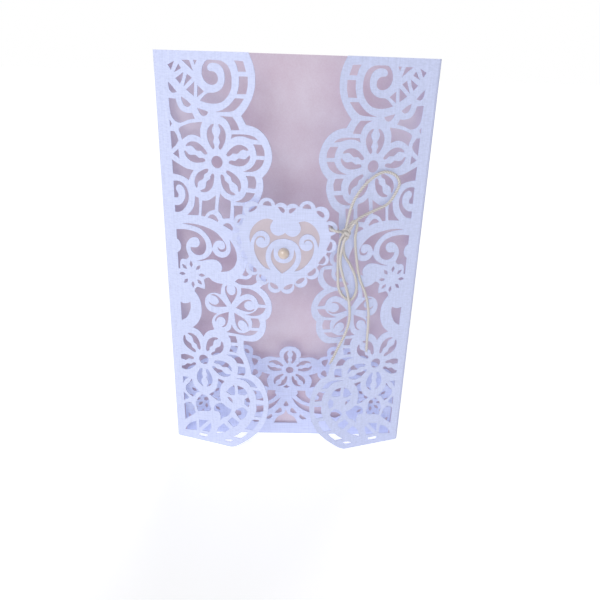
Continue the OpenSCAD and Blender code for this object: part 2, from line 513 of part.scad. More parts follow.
// The pocket stands on the bottom fold in front of the back panel
module pocket() {
  translate([0, -bottom_r, bottom_r]) {
    rotate([0, 90, 0]) translate([0, 0, -pocket_half_w]) {
      rotate([0, 0, -90 + pocket_lean]) {
        rotate_extrude(angle = 180 - pocket_lean, $fn = fold_steps) {
          translate([bottom_r - stock_t, 0]) square([stock_t, 2 * pocket_half_w]);
        }
      }
    }
    rotate([90 + pocket_lean, 0, 0]) {
      translate([0, -bottom_r, bottom_r - stock_t + flat_step]) linear_extrude(stock_t) pocket_lace();
    }
  }
}

module back_panel() {
  translate([-back_half_w, -stock_t, bottom_r - bottom_fold_lap]) {
    cube([2 * back_half_w, stock_t, card_h - bottom_r + bottom_fold_lap]);
  }
  for (side = [-1, 1]) {
    translate([side < 0 ? -back_half_w : pocket_half_w + fold_slit, -stock_t, 0]) {
      cube([pocket_side_gap - fold_slit, stock_t, bottom_r]);
    }
  }
}

// One sheet, cut and folded: back panel, two lace gates and the lace pocket
module wrap() {
  back_panel();
  gate();
  mirror([1, 0, 0]) gate();
  pocket();
}

// The insert card stands in the pocket, its top edge level with the gates. Its rear bottom edge
// stands on the curve of the bottom fold, with a small ease.
insert_ease = 0.02;
fold_hollow_r = bottom_r - stock_t;
insert_floor = bottom_r - sqrt(pow(fold_hollow_r, 2) - pow(fold_hollow_r - insert_rear_gap, 2)) + insert_ease;
module insert_card() {
  insert_w = card_w - 2 * (fold_r + insert_side_gap);
  translate([-insert_w / 2, -stock_t - insert_rear_gap - insert_t, insert_floor]) {
    cube([insert_w, insert_t, card_h - insert_floor]);
  }
}

// Scallops of the heart's right half: centre and radius of each
heart_scallops = [
  [2.7, 18.4, 3.4], [9.2, 19.8, 3.8], [15.6, 17.6, 3.9], [20.3, 11.6, 3.5], [21, 3.3, 3.3],
  [18.6, -3.7, 2.8], [14, -10.6, 3.4], [9, -15.3, 3.3], [2.9, -18.9, 3.4]
];
heart_scallop_cuts = [
  [[4.2, 19.8, 1], [2.3, 19.8], [0.9, 18.5], [1.5, 17.2], [3, 18.2]],
  [[7, 20, 1], [7.6, 21.5], [9, 22.1], [10.5, 21.4], [11, 20, 1]],
  [[13.5, 19.2], [15.3, 19.3], [16.9, 18.3], [17.2, 16.6], [15.7, 16.8], [14.3, 17.8]],
  [[19.3, 13.3, 1], [21.3, 12.9], [22.3, 10.9], [21.9, 10, 1], [20.3, 10.1], [19.8, 11.5]],
  [[21.2, 5.4, 1], [22, 5], [22.4, 3.2], [22, 1.5], [20.8, 0.8], [19.7, 1.1, 1], [20.4, 3.2]],
  [[18.9, -1.7, 1], [19.9, -3.1], [19.7, -4.8], [18.6, -5.8], [16.5, -5.9, 1], [17.5, -4]],
  [[12, -11.2], [12.5, -12.3], [14, -12.1], [15.6, -10.8], [15.9, -9], [15.2, -8, 1], [13.7, -9.6]],
  [[6.8, -16], [7.6, -16.8], [9.4, -16.2], [10.8, -14.5], [10.6, -13.3, 1], [8.5, -14]],
  [[1.2, -19.7], [2.8, -20.2], [4.8, -19.2], [5.5, -17.4], [5, -17, 1], [2.9, -17.8]]
];

// Right half of the large opening, with its curl, and of the opening round the pearl's disc
heart_field = [
  [0, 8, 1], [1.2, 7], [3.2, 6.3], [5.3, 6.9], [6.8, 8.8], [7, 11], [5.8, 13.4, 1], [8.5, 14.1],
  [11.6, 13.1], [14.2, 10.8], [15.9, 7.7], [16.3, 4.6], [15.8, 1.9, 1], [15, 4.5], [13.4, 7],
  [11, 8.1], [8.8, 7.5], [7.2, 5.7], [6.8, 3.4], [7.5, 1.4], [9.3, 0.1], [11.3, 0.1], [12.8, 1.2],
  [13.2, 2.8], [12.5, 4.3], [11.1, 5], [9.8, 4.6], [9.2, 3.3, 1], [9.2, 4.9], [10.9, 5.7],
  [12.8, 5], [13.8, 3], [14, 0.5], [13.6, -2.3], [12.3, -5.2], [10.4, -7.9], [8, -9.9],
  [5.6, -10.6, 1], [7, -8.6], [8.1, -5.9], [8.3, -2.9], [7.6, 0.2], [5.8, 2.9], [3.2, 4.5], [0, 5.1, 1]
];
heart_ring_field = [
  [4.7, 0.3, 1], [5.6, -1.6], [5.9, -4], [5.1, -6.8], [3.3, -9.3], [1.2, -11.3], [0, -12.2, 1],
  [0, -6.9, 1], [2.2, -6.5], [3.9, -5], [4.7, -2.8]
];
heart_body = [
  [0, 20.2, 1], [2.7, 18.4], [9.2, 19.8], [15.6, 17.6], [20.3, 11.6], [21, 3.3], [18.6, -3.7],
  [14, -10.6], [9, -15.3], [2.9, -18.9], [0, -20.2, 1]
];
backing_edge = [
  [0, 14.6, 1], [4.5, 16], [10, 16.4], [14.9, 13.6], [17.8, 8], [17.8, 2], [15.3, -4.5],
  [11, -9.6], [5.5, -14.2], [0, -16.6, 1]
];

module heart_openings() {
  mirrored() {
    cuts(heart_scallop_cuts);
    cut(heart_field);
    cut(heart_ring_field);
  }
}

// Carries flat heart shapes to their place, with the rear face at rear_y
module on_heart(rear_y) {
  translate([heart_x, rear_y, heart_z]) {
    rotate([90, 0, 0]) rotate([0, 0, -heart_turn]) scale([heart_scale, heart_scale, 1]) children();
  }
}

module heart_lace() {
  on_heart(heart_rear_y) {
    linear_extrude(heart_t) {
      lace() {
        outline() {
          cut(heart_body);
          for (s = heart_scallops) {
            translate([s[0], s[1]]) circle(r = s[2], $fn = round_steps);
          }
        }
        heart_openings();
      }
    }
  }
}

module heart_backing() {
  on_heart(backing_rear_y) {
    linear_extrude(backing_t) {
      outline() cut(backing_edge);
    }
  }
}

// The half pearl sits on the middle disc
pearl_z = -2;
module half_pearl() {
  on_heart(heart_rear_y - heart_t) {
    translate([0, pearl_z, 0]) {
      intersection() {
        sphere(d = pearl_d, $fn = round_steps);
        cylinder(h = pearl_d, d = 2 * pearl_d, $fn = round_steps);
      }
    }
  }
}

// The twine's routes over the right gate. Each point is its reach along the sheet, its height, and its
// distance in front of the gate's front face.
knot_place = [43.2, 127.7, 2.6];
upper_loop_route = [
  [43.5, 129.6, 2.8], [43, 133, 2.7], [41.5, 139, 2.4], [39.5, 143.5, 2], [35, 149, 1.3],
  [30, 153, 1.1], [25, 154.8, 1.1], [19.5, 153, 1.1], [17.2, 149.5, 1.1], [18.4, 145.3, 1.1],
  [22.2, 140, 1.2], [29.4, 137, 1.6], [36, 134.8, 2.8], [40, 132.3, 3.7], [42, 128.9, 3.6]
];
lower_loop_route = [
  [44.6, 126.4, 2.4], [46, 123.5, 2.4], [46.2, 116, 1.8], [45.4, 105, 1.2], [44.4, 98.5, 1.1],
  [41, 93.8, 1.1], [37.6, 92.4, 1.1], [35.2, 97, 1.1], [36.2, 104.3, 1.1], [39.5, 111, 1.1],
  [42.7, 116, 1.3], [43.9, 120.5, 1.8], [44, 123.5, 2.1], [43.3, 126.1, 1.5]
];
left_tail_route = [
  [43.6, 126.1, 3.8], [44.8, 123, 3.8], [45.8, 114, 3.6], [43.5, 105.5, 3], [41, 98.5, 2.8],
  [39.4, 92, 2.8], [38, 82.5, 1.6], [39.3, 75, 1.4], [43.3, 66.5, 1.8], [47, 59.5, 2.6]
];
right_tail_route = [
  [41.8, 128.4, 1.5], [40.8, 131, 1.2], [39, 132.4, 1.1], [37.4, 131.2, 1.1], [37.3, 128.4, 1.1],
  [37.8, 124.5, 1.1], [36.4, 114.3, 1.1], [34, 104, 1.1], [29.8, 94.2, 1.1], [27.8, 87, 1.1],
  [27, 78.5, 1.1], [26.9, 70, 1.1], [26.7, 63, 1.1]
];
// From the knot through the heart's scallop, behind both rims, and back through the gate's half moon
tie_route = [
  [45.1, 128, 2.9], [47.4, 129, 5], [49.5, 129.5, 5.5], [51.1, 129.8, 3.9], [51, 130, 1.9],
  [49.6, 129.8, 0], [47, 128.6, -1.5], [44.6, 126.4, -2.6], [42.8, 124, -2.5], [42.7, 123, -1.1],
  [43, 123.3, 0.4], [41.9, 124.6, 1.4], [41.6, 126.8, 1.8]
];

// Space between the rings of the twine's round surface, in diameters of the twine
ring_space = 3;
twine_sides = 8;

// A point over the right gate, carried along as the gate is turned or stretched
function on_gate(q) =
  let (
    along = q[0] * gate_reach / lace_grid_w - gate_start,
    out = fold_r + q[2]
  )
  [
    back_half_w - along * cos(gate_angle) + out * sin(gate_angle),
    -fold_r - along * sin(gate_angle) - out * cos(gate_angle),
    q[1] * card_h / lace_grid_h
  ];

// A smooth open line through points
function lay(p, i, chord) = norm(chord) * unit(p[min(i + 1, len(p) - 1)] - p[max(i - 1, 0)]);
function open_line(p) = [
  for (i = [0:len(p) - 2])
    let (
      chord = p[i + 1] - p[i],
      steps = max(1, round(norm(chord) / (ring_space * twine_d)))
    )
    for (k = [0:steps - 1])
      stretch(p[i], p[i + 1], lay(p, i, chord), lay(p, i + 1, chord), k / steps),
  p[len(p) - 1]
];

// The direction of the line at a point, and a direction across it that turns as little as possible
function line_way(line, i) = unit(line[min(i + 1, len(line) - 1)] - line[max(i - 1, 0)]);
function line_side(line, i) =
  let (
    way = line_way(line, i),
    last = i == 0 ? [0, 1, 0] : line_side(line, i - 1)
  )
  unit(last - (last * way) * way);

// Twine laid along a route
module twine(route) {
  line = open_line([for (q = route) on_gate(q)]);
  last = len(line) - 1;
  rings = [
    for (i = [0:last])
      let (a = line_side(line, i), b = cross(line_way(line, i), a))
      for (k = [0:twine_sides - 1])
        line[i] + twine_d / 2 * (a * cos(360 * k / twine_sides) + b * sin(360 * k / twine_sides))
  ];
  sides = [
    for (i = [0:last - 1])
      for (k = [0:twine_sides - 1])
        let (n = (k + 1) % twine_sides)
        [(i + 1) * twine_sides + k, (i + 1) * twine_sides + n, i * twine_sides + n, i * twine_sides + k]
  ];
  near_end = [for (k = [0:twine_sides - 1]) k];
  far_end = [for (k = [twine_sides - 1:-1:0]) last * twine_sides + k];
  polyhedron(points = rings, faces = concat(sides, [near_end, far_end]));
}

// The knot: an uneven lump that the strands end in
knot_lump_x = 1;
knot_lump_z = 0.4;
knot_lump_share = 0.75;
module twine_knot() {
  translate(on_gate(knot_place)) {
    hull() {
      sphere(d = knot_d, $fn = small_round_steps);
      for (side = [-1, 1]) {
        translate([side * knot_lump_x, 0, -side * knot_lump_z]) {
          sphere(d = knot_lump_share * knot_d, $fn = small_round_steps);
        }
      }
    }
  }
}

// The origin is under the middle of the standing card
module placed() {
  translate([0, stand_depth / 2, 0]) children();
}

color(paper_colour) placed() wrap();
color(insert_colour) placed() insert_card();
color(paper_colour) placed() heart_lace();
color(backing_colour) placed() heart_backing();
color(pearl_colour) placed() half_pearl();
color(twine_colour) placed() twine_knot();
color(twine_colour) placed() twine(tie_route);  // twine_tie
color(twine_colour) placed() twine(upper_loop_route);  // twine_loop_upper
color(twine_colour) placed() twine(lower_loop_route);  // twine_loop_lower
color(twine_colour) placed() twine(left_tail_route);  // twine_tail_left
color(twine_colour) placed() twine(right_tail_route);  // twine_tail_right
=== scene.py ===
"""Lace invitation card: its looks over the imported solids.

The card stock, the insert card, the heart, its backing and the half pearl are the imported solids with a
finish. The twine is laid again as twisted cord along the same route, with frayed bare ends.
"""

import logging
import math
import random
from dataclasses import dataclass, field
from enum import Enum

import bmesh
import bpy
from mathutils import Matrix, Vector

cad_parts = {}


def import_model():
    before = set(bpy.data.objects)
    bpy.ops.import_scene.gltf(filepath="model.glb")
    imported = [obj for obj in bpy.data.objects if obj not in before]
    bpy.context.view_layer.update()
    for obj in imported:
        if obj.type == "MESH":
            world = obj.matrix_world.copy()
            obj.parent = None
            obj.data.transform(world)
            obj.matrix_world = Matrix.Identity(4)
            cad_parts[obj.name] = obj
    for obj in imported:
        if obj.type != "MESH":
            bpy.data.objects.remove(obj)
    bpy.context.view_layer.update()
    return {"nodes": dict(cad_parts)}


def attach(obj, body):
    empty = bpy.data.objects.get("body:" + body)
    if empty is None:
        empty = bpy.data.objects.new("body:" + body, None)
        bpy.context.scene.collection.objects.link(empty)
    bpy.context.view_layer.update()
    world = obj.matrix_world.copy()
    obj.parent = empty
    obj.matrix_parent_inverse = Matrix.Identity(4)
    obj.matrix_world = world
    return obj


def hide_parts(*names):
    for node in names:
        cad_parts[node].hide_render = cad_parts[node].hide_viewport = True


LOG = logging.getLogger("scene")
Route = tuple[tuple[float, float, float], ...]
Colour = tuple[float, float, float]

MILLIMETRE = 0.001
# The tie is 29.8 mm long.
# Noise lies round this value
NOISE_MIDDLE = 0.5


class Slot(Enum):
    """The record's material slots."""

    CARD_STOCK = "card_stock"
    INSERT_STOCK = "insert_stock"
    BACKING_STOCK = "backing_stock"
    PEARL = "pearl"
    TWINE = "twine"


class FarEnd(Enum):
    """Where a stretch of twine ends."""

    BARE = "bare"
    OBJECT = "object"


@dataclass(frozen=True)
class LinenFinish:
    """Card stock with a fine linen emboss and painted shade between its threads.

    Attributes:
        colour: Linear colour of the stock.
        thread_m: Spacing of the embossed threads.
        thread_run: Length of a thread, in spacings.
        upright: Weight of the upright threads beside the level ones.
        depth_m: Depth of the emboss.
        shade: Brightness of the painted shade between the threads, as a share of the colour.
        full_shade_height: Height of the emboss at which the painted shade is full.
        roughness: Roughness of the surface.
        specular: Strength of the sheen.
    """

    colour: Colour = (0.62, 0.67, 0.92)
    thread_m: float = 0.0006
    thread_run: float = 18.0
    upright: float = 0.7
    depth_m: float = 0.00016
    shade: float = 0.80
    full_shade_height: float = 0.35
    roughness: float = 0.75
    specular: float = 0.3


@dataclass(frozen=True)
class PearlescentFinish:
    """Card with a cloudy pearl coating.

    Attributes:
        dark: Linear colour of the darker clouds.
        light: Linear colour of the lighter clouds.
        cloud_m: Size of the clouds.
        cloud_weight: How strongly the clouds show.
        grain_per_m: Specks of the grain in a metre.
        grain_weight: How strongly the grain shows.
        roughness: Roughness of the surface.
        coat: Weight of the clear coat.
    """

    dark: Colour
    light: Colour
    cloud_m: float
    cloud_weight: float = 2.2
    grain_per_m: float = 1500.0
    grain_weight: float = 0.8
    roughness: float = 0.45
    coat: float = 0.15


@dataclass(frozen=True)
class PearlFinish:
    """The coating of the half pearl.

    Attributes:
        colour: Linear colour under the coat.
        roughness: Roughness under the coat.
        coat: Weight of the clear coat.
        coat_roughness: Roughness of the clear coat.
    """

    colour: Colour = (0.57, 0.47, 0.41)
    roughness: float = 0.3
    coat: float = 1.0
    coat_roughness: float = 0.06


@dataclass(frozen=True)
class TwineFinish:
    """Soft cotton twine.

    Attributes:
        colour: Linear colour of the strands.
        shade: Linear colour in the grooves.
        fuzz_per_m: Specks of the fuzz in a metre.
        fuzz_weight: How strongly the fuzz shows in the colour.
        fuzz_depth_m: Depth of the fuzz.
        roughness: Roughness of the surface.
        specular: Strength of the sheen.
    """

    colour: Colour = (0.64, 0.61, 0.60)
    # shade: Linear colour of the painted shade in the grooves.
    shade: Colour = (0.36, 0.33, 0.31)
    fuzz_per_m: float = 4000.0
    fuzz_weight: float = 0.5
    fuzz_depth_m: float = 0.0001
    roughness: float = 0.9
    specular: float = 0.15


INSERT_FINISH = PearlescentFinish(dark=(0.54, 0.43, 0.53), light=(0.62, 0.55, 0.65), cloud_m=0.02)
BACKING_FINISH = PearlescentFinish(dark=(0.47, 0.40, 0.46), light=(0.54, 0.47, 0.53), cloud_m=0.008)


class NodeGraph:
    """A small helper that adds and links shader nodes."""

    def __init__(self, name: str) -> None:
        """Makes an empty material.

        Args:
            name: Name of the material.
        """
        self.material = bpy.data.materials.new(name)
        self.material.use_nodes = True
        self.tree = self.material.node_tree
        self.tree.nodes.clear()
        self.out = self.add("ShaderNodeOutputMaterial")
        self.coords = self.add("ShaderNodeTexCoord").outputs["Object"]

    def add(self, kind: str, **settings: object) -> bpy.types.Node:
        """Adds a node.

        Args:
            kind: The node's type.
            settings: Attributes to set on it.

        Returns:
            The node.
        """
        node = self.tree.nodes.new(kind)
        for key, value in settings.items():
            setattr(node, key, value)
        return node

    def link(self, a: bpy.types.NodeSocket, b: bpy.types.NodeSocket) -> None:
        """Links two sockets.

        Args:
            a: The socket that gives.
            b: The socket that takes.
        """
        self.tree.links.new(a, b)

    def scaled(self, x: float, y: float, z: float) -> bpy.types.NodeSocket:
        """Multiplies the Object coordinates along each axis.

        Args:
            x: Factor along X.
            y: Factor along Y.
            z: Factor along Z.

        Returns:
            The scaled coordinates.
        """
        node = self.add("ShaderNodeMapping")
        node.inputs["Scale"].default_value = (x, y, z)
        self.link(self.coords, node.inputs["Vector"])
        return node.outputs["Vector"]

    def noise(self, vector: bpy.types.NodeSocket, scale: float, detail: float) -> bpy.types.NodeSocket:
        """Adds noise.

        Args:
            vector: The coordinates that it reads.
            scale: Its specks in a unit of them.
            detail: Its levels of finer noise.

        Returns:
            The noise, about 0 to 1.
        """
        node = self.add("ShaderNodeTexNoise")
        node.inputs["Scale"].default_value = scale
        node.inputs["Detail"].default_value = detail
        self.link(vector, node.inputs["Vector"])
        return node.outputs["Fac"]

    def maths(
        self, operation: str, a: bpy.types.NodeSocket, b: bpy.types.NodeSocket | float
    ) -> bpy.types.NodeSocket:
        """Adds one step of arithmetic.

        Args:
            operation: Its kind.
            a: The first value.
            b: The second value.

        Returns:
            The result.
        """
        node = self.add("ShaderNodeMath", operation=operation)
        self.link(a, node.inputs[0])
        if isinstance(b, float):
            node.inputs[1].default_value = b
        else:
            self.link(b, node.inputs[1])
        return node.outputs[0]

    def mix(self, fac: bpy.types.NodeSocket, a: Colour, b: Colour) -> bpy.types.NodeSocket:
        """Blends two colours.

        Args:
            fac: 0 for the first colour, 1 for the second.
            a: The first colour.
            b: The second colour.

        Returns:
            The blend.
        """
        node = self.add("ShaderNodeMix", data_type="RGBA")
        self.link(fac, node.inputs["Factor"])
        node.inputs[6].default_value = (*a, 1.0)
        node.inputs[7].default_value = (*b, 1.0)
        return node.outputs[2]

    def bump(self, height: bpy.types.NodeSocket, distance: float) -> bpy.types.NodeSocket:
        """Makes a bump from a height.

        Args:
            height: The height.
            distance: Its depth in metres.

        Returns:
            The normal.
        """
        node = self.add("ShaderNodeBump")
        node.inputs["Distance"].default_value = distance
        self.link(height, node.inputs["Height"])
        return node.outputs["Normal"]

    def surface(
        self, roughness: float, coat: float = 0.0, specular: float = 0.5, coat_roughness: float = 0.25
    ) -> bpy.types.Node:
        """Adds the main shader and links it to the output.

        Args:
            roughness: Roughness of the surface.
            coat: Weight of the clear coat.
            specular: Strength of the sheen.
            coat_roughness: Roughness of the clear coat.

        Returns:
            The shader.
        """
        node = self.add("ShaderNodeBsdfPrincipled")
        node.inputs["Roughness"].default_value = roughness
        node.inputs["Coat Weight"].default_value = coat
        node.inputs["Coat Roughness"].default_value = coat_roughness
        node.inputs["Specular IOR Level"].default_value = specular
        self.link(node.outputs["BSDF"], self.out.inputs["Surface"])
        return node


def linen_material(finish: LinenFinish) -> bpy.types.Material:
    """Card stock with embossed threads along and across, and painted shade between the threads.

    Args:
        finish: The stock's finish.

    Returns:
        The material.
    """
    graph = NodeGraph("linen_stock")
    shader = graph.surface(finish.roughness, specular=finish.specular)
    per_m = 1.0 / finish.thread_m
    long = per_m / finish.thread_run
    across = graph.noise(graph.scaled(long, per_m, per_m), 1.0, 1.0)
    upright = graph.noise(graph.scaled(per_m, per_m, long), 1.0, 1.0)
    height = graph.maths("ADD", across, graph.maths("MULTIPLY", upright, finish.upright))
    graph.link(graph.bump(height, finish.depth_m), shader.inputs["Normal"])
    # Painted shade: the colour darkens towards the low parts of the emboss, between the threads.
    emboss_shade_mask = graph.maths("SUBTRACT", height, finish.full_shade_height)
    painted_shade_colour = tuple(c * finish.shade for c in finish.colour)
    graph.link(graph.mix(emboss_shade_mask, painted_shade_colour, finish.colour), shader.inputs["Base Color"])
    return graph.material


def pearlescent_material(name: str, finish: PearlescentFinish) -> bpy.types.Material:
    """Card with soft clouds and a fine grain.

    Args:
        name: Name of the material.
        finish: The card's finish.

    Returns:
        The material.
    """
    graph = NodeGraph(name)
    shader = graph.surface(finish.roughness, finish.coat)
    cloud = graph.noise(graph.coords, 1.0 / finish.cloud_m, 3.0)
    grain = graph.noise(graph.coords, finish.grain_per_m, 2.0)
    spread = graph.maths("MULTIPLY", graph.maths("SUBTRACT", cloud, NOISE_MIDDLE), finish.cloud_weight)
    speck = graph.maths("MULTIPLY", graph.maths("SUBTRACT", grain, NOISE_MIDDLE), finish.grain_weight)
    fac = graph.maths("ADD", graph.maths("ADD", spread, speck), NOISE_MIDDLE)
    graph.link(graph.mix(fac, finish.dark, finish.light), shader.inputs["Base Color"])
    return graph.material


def pearl_material(finish: PearlFinish) -> bpy.types.Material:
    """The half pearl's coating.

    Args:
        finish: The pearl's finish.

    Returns:
        The material.
    """
    graph = NodeGraph("pearl_coat")
    shader = graph.surface(finish.roughness, finish.coat, coat_roughness=finish.coat_roughness)
    shader.inputs["Base Color"].default_value = (*finish.colour, 1.0)
    return graph.material


def twine_material(finish: TwineFinish) -> bpy.types.Material:
    """Cotton twine, with painted shade that darkens the grooves between its strands.

    Args:
        finish: The twine's finish.

    Returns:
        The material.
    """
    graph = NodeGraph("cotton_twine")
    shader = graph.surface(finish.roughness, specular=finish.specular)
    # The groove attribute carries painted shade: the colour darkens in the grooves between the strands.
    groove = graph.add("ShaderNodeAttribute", attribute_name="groove").outputs["Fac"]
    fuzz = graph.noise(graph.coords, finish.fuzz_per_m, 3.0)
    uneven = graph.maths("MULTIPLY", graph.maths("SUBTRACT", fuzz, NOISE_MIDDLE), finish.fuzz_weight)
    fac = graph.maths("ADD", groove, uneven)
    graph.link(graph.mix(fac, finish.colour, finish.shade), shader.inputs["Base Color"])
    graph.link(graph.bump(fuzz, finish.fuzz_depth_m), shader.inputs["Normal"])
    return graph.material


@dataclass(frozen=True)
class Gate:
    """Where the right gate stands, in metres, as in the part's source.

    Attributes:
        half_flat: Half the flat width of the back panel.
        fold_r: Outer radius of the side fold.
        angle: Angle between the gate and the back panel, in radians.
        forward: Distance from the row frame's origin back to the back panel's rear face.
    """

    half_flat: float = 0.061
    fold_r: float = 0.0025
    angle: float = math.radians(18.0)
    forward: float = 0.01232864

    def point(self, q: tuple[float, float, float]) -> Vector:
        """A point over the gate.

        Args:
            q: Reach along the sheet, height, and distance in front of the gate, in metres.

        Returns:
            The point in the row frame.
        """
        along = q[0] - self.fold_r * (math.pi / 2 - self.angle)
        out = self.fold_r + q[2]
        cos = math.cos(self.angle)
        sin = math.sin(self.angle)
        x = self.half_flat - along * cos + out * sin
        y = self.forward - self.fold_r - along * sin - out * cos
        return Vector((x, y, q[1]))


class SmoothLine:
    """A smooth open line through a few points."""

    def __init__(self, points: list[Vector], step: float) -> None:
        """Samples the line.

        Args:
            points: The points that it passes.
            step: Distance between samples.
        """
        self.samples = [p for i in range(len(points) - 1) for p in self._stretch(points, i, step)]
        self.samples.append(points[-1].copy())

    @staticmethod
    def _stretch(points: list[Vector], i: int, step: float) -> list[Vector]:
        """Samples the curve between two points, the same curve as in the part's source.

        Args:
            points: All the points.
            i: Number of the first of the two.
            step: Distance between samples.

        Returns:
            The samples, without the second point.
        """
        a = points[i]
        b = points[i + 1]
        chord = (b - a).length
        last = len(points) - 1
        ta = (points[i + 1] - points[max(i - 1, 0)]).normalized() * chord
        tb = (points[min(i + 2, last)] - points[i]).normalized() * chord
        count = max(1, round(chord / step))
        out = []
        for k in range(count):
            t = k / count
            t2 = t * t
            t3 = t * t * t
            start = a * (2 * t3 - 3 * t2 + 1) + ta * (t3 - 2 * t2 + t)
            out.append(start + b * (3 * t2 - 2 * t3) + tb * (t3 - t2))
        return out

    def length(self) -> float:
        """Length of the line."""
        return sum((b - a).length for a, b in zip(self.samples, self.samples[1:]))


@dataclass
class TwistedTube:
    """A tube of twisted strands along a line.

    Attributes:
        line: The centreline.
        diameter: Diameter over the strands.
        pitch: Length of one turn of the twist.
        strands: Number of strands.
        sides: Points round the tube.
        groove: Depth of the grooves, as a share of the radius.
    """

    line: list[Vector]
    diameter: float
    pitch: float = 0.0042
    strands: int = 3
    sides: int = 24
    groove: float = 0.24

    # Powers that make the strands' crowns wide and the grooves' painted dark lines thin
    CROWN_POWER = 1.5
    SHADE_POWER = 2

    def frames(self) -> list[tuple[Vector, Vector, Vector]]:
        """Works out a frame at each sample that turns as little as possible.

        Returns:
            The point and two directions across the line, for each sample.
        """
        out = []
        side = Vector((0.0, 1.0, 0.0))
        last = len(self.line) - 1
        for i, point in enumerate(self.line):
            way = (self.line[min(i + 1, last)] - self.line[max(i - 1, 0)]).normalized()
            side = (side - way * side.dot(way)).normalized()
            out.append((point, side.copy(), way.cross(side)))
        return out

    def add_to(self, mesh: bmesh.types.BMesh, groove_shade_layer: bmesh.types.BMLayerItem) -> None:
        """Adds the tube to a mesh.

        Args:
            mesh: The mesh.
            groove_shade_layer: Float attribute that takes the painted shade of the grooves.
        """
        rings = []
        travelled = 0.0
        before = self.line[0]
        for point, side, up in self.frames():
            travelled += (point - before).length
            before = point
            turn = travelled / self.pitch * math.tau
            ring = []
            for k in range(self.sides):
                a = math.tau * k / self.sides
                lobe = abs(math.cos(self.strands * (a - turn) / 2))
                r = self.diameter / 2 * (1.0 - self.groove * (1.0 - lobe) ** self.CROWN_POWER)
                v = mesh.verts.new(point + side * (r * math.cos(a)) + up * (r * math.sin(a)))
                # Painted shade: each point's weight of the darker groove colour.
                v[groove_shade_layer] = (1.0 - lobe) ** self.SHADE_POWER
                ring.append(v)
            rings.append(ring)
        for a, b in zip(rings, rings[1:]):
            for k in range(self.sides):
                n = (k + 1) % self.sides
                mesh.faces.new((a[k], a[n], b[n], b[k])).smooth = True
        mesh.faces.new(list(reversed(rings[0])))
        mesh.faces.new(rings[-1])


